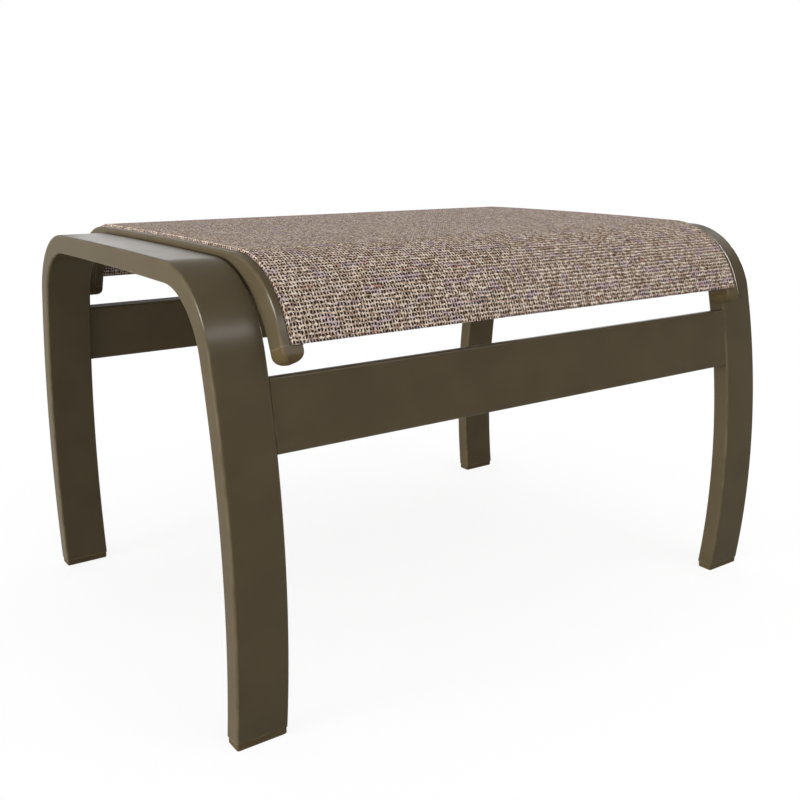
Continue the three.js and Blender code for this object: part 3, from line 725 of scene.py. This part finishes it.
def woven_mesh(tree, shader):
    """Mesh of vinyl-coated polyester yarn in plain weave: round yarns with small open holes, a
    dull waxy sheen, and slubs of other colours. The holes and the low flanks of the yarns are
    painted in a dark shade in place of the shadow behind and between them."""
    finishes = bpy.context.scene.ottoman_finishes
    warp_seed = 11.3
    weft_seed = 47.9
    # Below hole_height the painted shade is full, and it fades out up to yarn_height
    hole_height = 0.16
    yarn_height = 0.84
    yarn_relief = 0.0003
    yarn_bump = 0.8
    place = add_node(tree, "ShaderNodeUVMap", uv_map="cloth")
    warp, weft = count_yarns(tree, place)
    warp_height, warp_colour = yarns(tree, warp, weft, warp_seed, 0)
    weft_height, weft_colour = yarns(tree, weft, warp, weft_seed, math.pi)
    over = add_node(tree, MATH, {0: warp_height, 1: weft_height}, operation="GREATER_THAN")
    yarn_inputs = {"Factor": over, MIX_A: weft_colour, MIX_B: warp_colour}
    yarn = add_node(tree, MIX, yarn_inputs, MIX_OUT, data_type="RGBA")
    yarn = add_slub(tree, place, yarn, finishes.heather, HEATHER_SLUB)
    yarn = add_slub(tree, place, yarn, finishes.rose, ROSE_SLUB)
    yarn = add_slub(tree, place, yarn, finishes.moss, MOSS_SLUB)
    height = add_node(tree, MATH, {0: warp_height, 1: weft_height}, operation="MAXIMUM")
    # Painted shade: where the yarns dip low, at their flanks and in the holes, the shade colour is
    # painted in
    yarn_not_shaded_inputs = {"Value": height, "From Min": hole_height, "From Max": yarn_height}
    yarn_not_shaded = add_node(tree, MAP_RANGE, yarn_not_shaded_inputs, interpolation_type="SMOOTHSTEP")
    shown_inputs = {"Factor": yarn_not_shaded, MIX_A: finishes.shade, MIX_B: yarn}
    shown = add_node(tree, MIX, shown_inputs, MIX_OUT, data_type="RGBA")
    raised = add_node(tree, MATH, {0: height, 1: hole_height}, operation="MAXIMUM")
    bump_inputs = {"Height": raised, "Distance": yarn_relief, "Strength": yarn_bump}
    bump = add_node(tree, "ShaderNodeBump", bump_inputs)
    tree.links.new(shown, shader.inputs["Base Color"])
    tree.links.new(bump, shader.inputs["Normal"])
    shader.inputs["Roughness"].default_value = YARN_ROUGHNESS
    shader.inputs["IOR"].default_value = YARN_IOR


FINISH_OF_SLOT = {
    "powder_coated_aluminium": ("satin_powder_coat", powder_coat),
    "sling_mesh": ("vinyl_coated_mesh", woven_mesh),
    "cap_plastic": ("grained_cap_plastic", cap_plastic),
    "foot_plastic": ("grained_foot_plastic", foot_plastic),
    "spline_plastic": ("extruded_spline_plastic", spline_plastic),
    "nylon": ("moulded_nylon", spacer_nylon),
    "stainless_steel": ("turned_stainless_steel", stainless_steel),
}


# Pieces


class OTTOMAN_OT_side_frames(Operator):
    """Model a side frame as a bent flat tube with level ends, and copy it to the other side."""

    bl_idname = "ottoman.side_frames"
    bl_label = "Side Frames"

    def execute(self, context):
        sizes = context.scene.ottoman_frame
        x = sizes.half_width - sizes.tube_width / 2
        middle = Vector((-x, 0, sizes.height - sizes.tube_thickness / 2))
        left = start_piece("side_frame_left", sizes.tube_width, sizes.tube_thickness, middle)
        round_corners(sizes.fillet, lambda co: True)
        keep_outline()
        spin_along(frame_arcs(sizes))
        pick_all()
        cut = (0, 0, sizes.tube_end)
        bpy.ops.mesh.bisect(plane_co=cut, plane_no=(0, 0, 1), clear_inner=True)
        finish_mesh(left, wall=sizes.wall)
        right = copy_piece(left, "side_frame_right", offset=(2 * x, 0, 0))
        for piece, node in ((left, "left_frame"), (right, "right_frame")):
            dress(piece, "powder_coated_aluminium", node)
        return {"FINISHED"}


class OTTOMAN_OT_stretchers(Operator):
    """Model a stretcher as a flat tube that leans with the legs, and mirror it to the front."""

    bl_idname = "ottoman.stretchers"
    bl_label = "Stretchers"

    def execute(self, context):
        sizes = context.scene.ottoman_frame
        low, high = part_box("rear_stretcher")
        height = (low.z + high.z) / 2
        half_length = sizes.half_width - sizes.tube_width
        inset = sizes.stretcher_recess + sizes.stretcher_thickness / 2
        middle = leg_point(sizes, height, inset) - Vector((half_length, 0, 0))
        thickness = sizes.stretcher_thickness
        rear = start_piece("stretcher_rear", thickness, sizes.stretcher_face, middle, "SIDE")
        round_corners(sizes.fillet, lambda co: True)
        keep_outline()
        extrude((2 * half_length, 0, 0))
        pick_all()
        lean = leg_angle(sizes, height) - QUARTER_TURN
        bpy.ops.transform.rotate(value=lean, orient_axis="X", center_override=middle)
        finish_mesh(rear, wall=sizes.wall, mirror=False)
        front = copy_piece(rear, "stretcher_front", flip=1)
        for piece, node in ((rear, "rear_stretcher"), (front, "front_stretcher")):
            dress(piece, "powder_coated_aluminium", node)
        return {"FINISHED"}


def cut_keyhole(rails, middle, slot, crown):
    """Opens a rail's outline, in edit mode, with a slot in its top and a round bore below."""
    half_slot = rails.slot_width / 2
    lips = (slot - half_slot, slot + half_slot)
    bore = Vector((slot, 0, crown - rails.bore_depth))
    mouth = math.asin(half_slot / rails.bore_radius)
    lip = bore + Vector((0, 0, rails.bore_radius * math.cos(mouth)))
    for edge in lips:
        pick_all()
        bpy.ops.mesh.bisect(plane_co=(edge, 0, 0), plane_no=(1, 0, 0))
    # Only the outline stays, open between the lips
    keep_outline()
    pick("EDGE", lambda co: abs(co.x - slot) < half_slot and co.z > middle.z)
    bpy.ops.mesh.delete(type="EDGE")
    # The side under the cloth is raised
    inner_side = slot + half_slot - SURFACE_BAND
    pick("VERT", lambda co: co.x > inner_side and co.z > middle.z)
    bpy.ops.transform.translate(value=(0, 0, rails.step))
    # Both lips run down to the bore, which is turned from one to the other
    pick("VERT", lambda co: co.z > lip.z and min(abs(co.x - x) for x in lips) < SURFACE_BAND)
    bpy.ops.mesh.extrude_vertices_move()
    bpy.ops.transform.resize(value=(1, 1, 0), center_override=lip)
    pick("VERT", lambda co: co.x < slot and abs(co.z - lip.z) < SURFACE_BAND)
    bpy.ops.mesh.spin(steps=BORE_STEPS, angle=2 * (math.pi - mouth), center=bore, axis=(0, 1, 0))
    pick_all()
    bpy.ops.mesh.remove_doubles(threshold=MERGE_DISTANCE)


class OTTOMAN_OT_sling_rails(Operator):
    """Model a sling rail with its keyhole slot, and mirror it to the other side."""

    bl_idname = "ottoman.sling_rails"
    bl_label = "Sling Rails"

    def execute(self, context):
        frames = context.scene.ottoman_frame
        rails = context.scene.ottoman_rail
        outer = -frames.half_width + frames.tube_width + rails.gap
        crown = rail_crown(frames, rails)
        middle = Vector((outer + rails.width / 2, 0, crown - rails.depth / 2))
        slot = outer + rails.slot_inset
        left = start_piece("sling_rail_left", rails.width, rails.depth, middle)
        round_corners(rails.outer_fillet, lambda co: co.z > middle.z)
        round_corners(rails.inner_fillet, lambda co: co.z < middle.z)
        cut_keyhole(rails, middle, slot, crown)
        pick_all()
        spin_along(rail_arcs(frames, rails))
        extrude(rails.tail * along(rails.tail_turn))
        bpy.ops.mesh.edge_face_add()
        finish_mesh(left)
        right = copy_piece(left, "sling_rail_right", flip=0)
        for piece, node in ((left, "left_sling_rail"), (right, "right_sling_rail")):
            dress(piece, "powder_coated_aluminium", node)
        return {"FINISHED"}


class OTTOMAN_OT_rail_caps(Operator):
    """Model the rounded head of a rail end cap, and copy it to the other rail ends."""

    bl_idname = "ottoman.rail_caps"
    bl_label = "Rail End Caps"

    def execute(self, context):
        frames = context.scene.ottoman_frame
        rails = context.scene.ottoman_rail
        bend = rail_arcs(frames, rails)[-1]
        end = bend.point(bend.end) + rails.tail * along(bend.end)
        rail_x = -frames.half_width + frames.tube_width + rails.gap + rails.width / 2
        middle = Vector((rail_x, end.y - rails.depth / 2, end.z))
        cap = start_piece("rail_cap", rails.width, rails.depth, middle, "UP")
        round_corners(rails.outer_fillet, lambda co: co.y > middle.y)
        round_corners(rails.inner_fillet, lambda co: co.y < middle.y)
        keep_outline()
        halves = (rails.width / 2, rails.depth / 2)
        radii = (rails.cap_side_radius, rails.cap_face_radius)
        rounded_end(middle, halves, radii, rails.cap_straight + rails.cap_side_radius)
        pick("EDGE", lambda co: abs(co.z - middle.z) < SURFACE_BAND)
        bpy.ops.mesh.edge_face_add()
        pick_all()
        pivot = (rail_x, end.y, end.z)
        lean = bend.end - QUARTER_TURN
        bpy.ops.transform.rotate(value=lean, orient_axis="X", center_override=pivot)
        finish_mesh(cap, mirror=False)
        for tag, piece in at_four_corners(cap, "rail_end_cap").items():
            dress(piece, "cap_plastic", f"rail_cap_{tag}")
        return {"FINISHED"}


class OTTOMAN_OT_foot_glides(Operator):
    """Model the sole of a foot glide with rounded low edges, and copy it to the other legs."""

    bl_idname = "ottoman.foot_glides"
    bl_label = "Foot Glides"

    def execute(self, context):
        frames = context.scene.ottoman_frame
        glides = context.scene.ottoman_glide
        width = frames.tube_width - 2 * glides.inset
        depth = frames.tube_thickness - 2 * glides.inset
        height = frames.tube_end - glides.seat_gap
        leg = leg_point(frames, frames.tube_end, frames.tube_thickness / 2)
        x = -frames.half_width + frames.tube_width / 2
        middle = Vector((x, leg.y, height))
        glide = start_piece("glide", width, depth, middle, "UP")
        round_corners(glides.corner, lambda co: True)
        keep_outline()
        radii = (glides.end_radius, glides.edge_radius)
        rounded_end(middle, (width / 2, depth / 2), radii, height)
        pick("EDGE", lambda co: abs(co.z - middle.z) < SURFACE_BAND)
        bpy.ops.mesh.edge_face_add()
        finish_mesh(glide, mirror=False)
        for tag, piece in at_four_corners(glide, "glide").items():
            dress(piece, "foot_plastic", f"foot_glide_{tag}")
        return {"FINISHED"}


def cloth_section(rails, cloth, slot, crown):
    """Outlines the cloth from slot to slot: its top, its folds into the slots and its pockets.

    Gives the piece back, in edit mode, with the flat width of the cloth."""
    top = crown + cloth.rise
    side = slot + cloth.ply / 2
    spline = crown - rails.bore_depth
    neck_turn = math.asin(cloth.ply / 2 / cloth.pocket_radius)
    neck_end = spline + cloth.pocket_radius * math.cos(neck_turn)
    middle = Vector((0, 0, (top + neck_end) / 2))
    sling = start_piece("sling_cloth", 2 * side, top - neck_end, middle)
    round_corners(cloth.fold_radius, lambda co: co.z > middle.z)
    # Only the outline stays, open below
    keep_outline()
    pick("EDGE", lambda co: abs(co.z - neck_end) < SURFACE_BAND)
    bpy.ops.mesh.delete(type="EDGE")
    pocket_turn = 2 * (math.pi - 2 * neck_turn)
    for sign in (-1, 1):
        pick("VERT", lambda co: sign * co.x > slot and co.z < neck_end + SURFACE_BAND)
        bpy.ops.mesh.spin(
            steps=POCKET_STEPS,
            angle=-sign * pocket_turn,
            center=(sign * slot, 0, spline),
            axis=(0, 1, 0),
        )
    pick_all()
    return sling, 2 * (side + top - neck_end + cloth.pocket_radius * pocket_turn)


def turn_hem(cloth, bend, half_width):
    """Carries the cloth straight on below the bend and turns its hem back along the inside."""
    down = along(bend.end)
    straight = (cloth.tail - cloth.ply) * down
    extrude(straight)
    end = bend.point(bend.end) + cloth.rise * outward(bend.end) + straight
    pick("EDGE", lambda co: abs(co.x) < half_width and (co - end).dot(down) > -SURFACE_BAND)
    fold = end - cloth.ply * outward(bend.end)
    bpy.ops.mesh.spin(steps=HEM_FOLD_STEPS, angle=math.pi, center=fold, axis=(1, 0, 0))
    extrude(-straight)
    hem_turn = (cloth.hem - cloth.tail) / bend.radius
    bpy.ops.mesh.spin(steps=HEM_STEPS, angle=-hem_turn, center=bend.centre, axis=(1, 0, 0))


def lay_weave(sling, cloth, arcs):
    """Maps the cloth flat, in metres from its middle, down its sides and along the rails."""
    layer = sling.data.uv_layers[0]
    layer.name = "cloth"
    for loop in sling.data.loops:
        co = sling.data.vertices[loop.vertex_index].co
        along_cloth, height = place_on(arcs, co)
        across_cloth = co.x + math.copysign(cloth.rise - height, co.x)
        layer.data[loop.index].uv = (across_cloth, along_cloth)


class OTTOMAN_OT_sling(Operator):
    """Model the sling as one sheet with side pockets and turned hems, stretched on the rails."""

    bl_idname = "ottoman.sling"
    bl_label = "Sling"

    def execute(self, context):
        frames = context.scene.ottoman_frame
        rails = context.scene.ottoman_rail
        cloth = context.scene.ottoman_sling
        arcs = rail_arcs(frames, rails)
        slot = frames.half_width - frames.tube_width - rails.gap - rails.slot_inset
        sling, width = cloth_section(rails, cloth, slot, rail_crown(frames, rails))
        spin_along(arcs)
        turn_hem(cloth, arcs[-1], slot - rails.width + rails.slot_inset)
        finish_mesh(sling, wall=cloth.ply)
        run = 2 * (sum(arc.length() for arc in arcs) + cloth.tail + cloth.hem)
        lay_weave(sling, cloth, arcs)
        dress(sling, "sling_mesh", "sling")
        return {"FINISHED"}


class OTTOMAN_OT_fixings(Operator):
    """Give the bolts, inserts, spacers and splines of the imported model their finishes."""

    bl_idname = "ottoman.fixings"
    bl_label = "Fixings"

    def execute(self, context):
        slot_of = {row["node"]: row["material_slot"] for row in frame["record"]["subparts"]}
        for name, node in frame["nodes"].items():
            if not node.hide_render:
                node.data.materials.clear()
                node.data.materials.append(finish(slot_of[name]))
        return {"FINISHED"}


class OTTOMAN_OT_stage(Operator):
    """Set the floor, the background, the lamps and the camera."""

    bl_idname = "ottoman.stage"
    bl_label = "Stage"

    def execute(self, context):
        stage = context.scene.ottoman_stage
        set_floor(stage)
        set_lights(stage)
        set_camera(stage)
        return {"FINISHED"}


def seen_directly(tree):
    """1 for what the camera sees, also in reflections and through glass, and 0 for light."""
    camera = add_node(tree, "ShaderNodeLightPath", output="Is Camera Ray")
    glossy = add_node(tree, "ShaderNodeLightPath", output="Is Glossy Ray")
    through = add_node(tree, "ShaderNodeLightPath", output="Is Transmission Ray")
    mirrored = add_node(tree, MATH, {0: glossy, 1: through}, operation="MAXIMUM")
    return add_node(tree, MATH, {0: camera, 1: mirrored}, operation="MAXIMUM")


def floor_paint(stage):
    """Matt white floor: it glows away from the ottoman, and under it a painted shadow darkens it
    besides its real soft shadow.
    """
    painted_shadow_glow_shares = (0.82, 1)  # glow under the ottoman, lowered there as a painted shadow, and away from it
    painted_shadow_reach = (0.3, 0.75)  # from the middle to where the painted shadow starts to fade, and where it is gone
    material = bpy.data.materials.new("studio_floor")
    material.use_nodes = True
    tree = material.node_tree
    seen = seen_directly(tree)
    colours = {"Factor": seen, MIX_A: stage.floor_grey, MIX_B: stage.floor_white}
    colour_seen = add_node(tree, MIX, colours, MIX_OUT, data_type="RGBA")
    paint = add_node(tree, "ShaderNodeBsdfDiffuse", {"Color": colour_seen})
    glow = add_node(tree, "ShaderNodeEmission", {"Color": stage.floor_white, "Strength": 1})
    place = add_node(tree, "ShaderNodeTexCoord", output="Object")
    away = add_node(tree, VECTOR_MATH, {0: place}, "Value", operation="LENGTH")
    reach = {"From Min": painted_shadow_reach[0], "From Max": painted_shadow_reach[1]}
    levels = {"To Min": painted_shadow_glow_shares[0], "To Max": painted_shadow_glow_shares[1]}
    # Painted shadow: the floor glows less near its middle, under the ottoman
    painted_shadow_glow_share = add_node(tree, MAP_RANGE, {"Value": away, **reach, **levels})
    share = add_node(tree, MATH, {0: seen, 1: painted_shadow_glow_share}, operation="MULTIPLY")
    surface = add_node(tree, "ShaderNodeMixShader", {0: share, 1: paint, 2: glow})
    tree.links.new(surface, tree.nodes["Material Output"].inputs["Surface"])
    return material


def set_floor(stage):
    bpy.ops.mesh.primitive_plane_add(size=stage.floor)
    floor = bpy.context.object
    floor.name = "floor"
    floor.data.materials.append(floor_paint(stage))


def add_lamp(stage, name, card=False):
    """Adds a lamp that faces the middle of the ottoman and that the camera doesn't see.

    A card only shows in what mirrors it, and lights nothing else."""
    middle = Vector((0, 0, bpy.context.scene.ottoman_frame.height / 2))
    data = bpy.data.lights.new(name, "AREA")
    data.shape = "RECTANGLE"
    data.size = getattr(stage, f"{name}_width")
    data.size_y = getattr(stage, f"{name}_height")
    data.energy = getattr(stage, f"{name}_watts")
    lamp = bpy.data.objects.new(f"{name}_lamp", data)
    lamp.location = getattr(stage, f"{name}_place")
    lamp.rotation_euler = (middle - lamp.location).to_track_quat("-Z", "Y").to_euler()
    lamp.visible_camera = False
    lamp.visible_diffuse = not card
    bpy.context.scene.collection.objects.link(lamp)


def set_lights(stage):
    """Even light all round, a wide low lamp at the left, a faint one in front, and the cards."""
    world = bpy.data.worlds.new("studio")
    bpy.context.scene.world = world
    world.use_nodes = True
    tree = world.node_tree
    background = tree.nodes["Background"]
    background.inputs["Color"].default_value = stage.floor_white
    strength_inputs = {"Value": seen_directly(tree), "To Min": stage.ambient, "To Max": 1}
    strength = add_node(tree, MAP_RANGE, strength_inputs)
    tree.links.new(strength, background.inputs["Strength"])
    for name in ("side", "front"):
        add_lamp(stage, name)
    for name in ("bend", "ridge", "crown", "right", "edge"):
        add_lamp(stage, name, card=True)


def set_camera(stage):
    scene = bpy.context.scene
    data = bpy.data.cameras.new("camera")
    data.lens = stage.camera_lens
    camera = bpy.data.objects.new("camera", data)
    camera.location = stage.camera_place
    camera.rotation_euler = (QUARTER_TURN - stage.camera_pitch, 0, -stage.camera_yaw)
    scene.collection.objects.link(camera)
    scene.camera = camera
    scene.view_settings.view_transform = "Standard"


PIECES = (
    OTTOMAN_OT_side_frames,
    OTTOMAN_OT_stretchers,
    OTTOMAN_OT_sling_rails,
    OTTOMAN_OT_rail_caps,
    OTTOMAN_OT_foot_glides,
    OTTOMAN_OT_sling,
    OTTOMAN_OT_fixings,
    OTTOMAN_OT_stage,
)


class OTTOMAN_PT_pieces(Panel):
    """Lists the pieces of the ottoman in the order in which they are made."""

    bl_idname = "OTTOMAN_PT_pieces"
    bl_label = "Ottoman"
    bl_space_type = "VIEW_3D"
    bl_region_type = "UI"
    bl_category = "Ottoman"

    def draw(self, context):
        for piece in PIECES:
            self.layout.operator(piece.bl_idname)


GROUPS = {
    "ottoman_frame": FrameSizes,
    "ottoman_rail": RailSizes,
    "ottoman_glide": GlideSizes,
    "ottoman_sling": SlingSizes,
    "ottoman_finishes": Finishes,
    "ottoman_stage": StageSizes,
}


def register():
    for kind in (*GROUPS.values(), *PIECES, OTTOMAN_PT_pieces):
        bpy.utils.register_class(kind)
    for name, group in GROUPS.items():
        setattr(bpy.types.Scene, name, PointerProperty(type=group))


def unregister():
    for name in GROUPS:
        delattr(bpy.types.Scene, name)
    for kind in (OTTOMAN_PT_pieces, *reversed(PIECES), *GROUPS.values()):
        bpy.utils.unregister_class(kind)


def main():
    register()
    for piece in PIECES:
        group, action = piece.bl_idname.split(".")
        getattr(getattr(bpy.ops, group), action)()


if __name__ == "__main__":
    main()
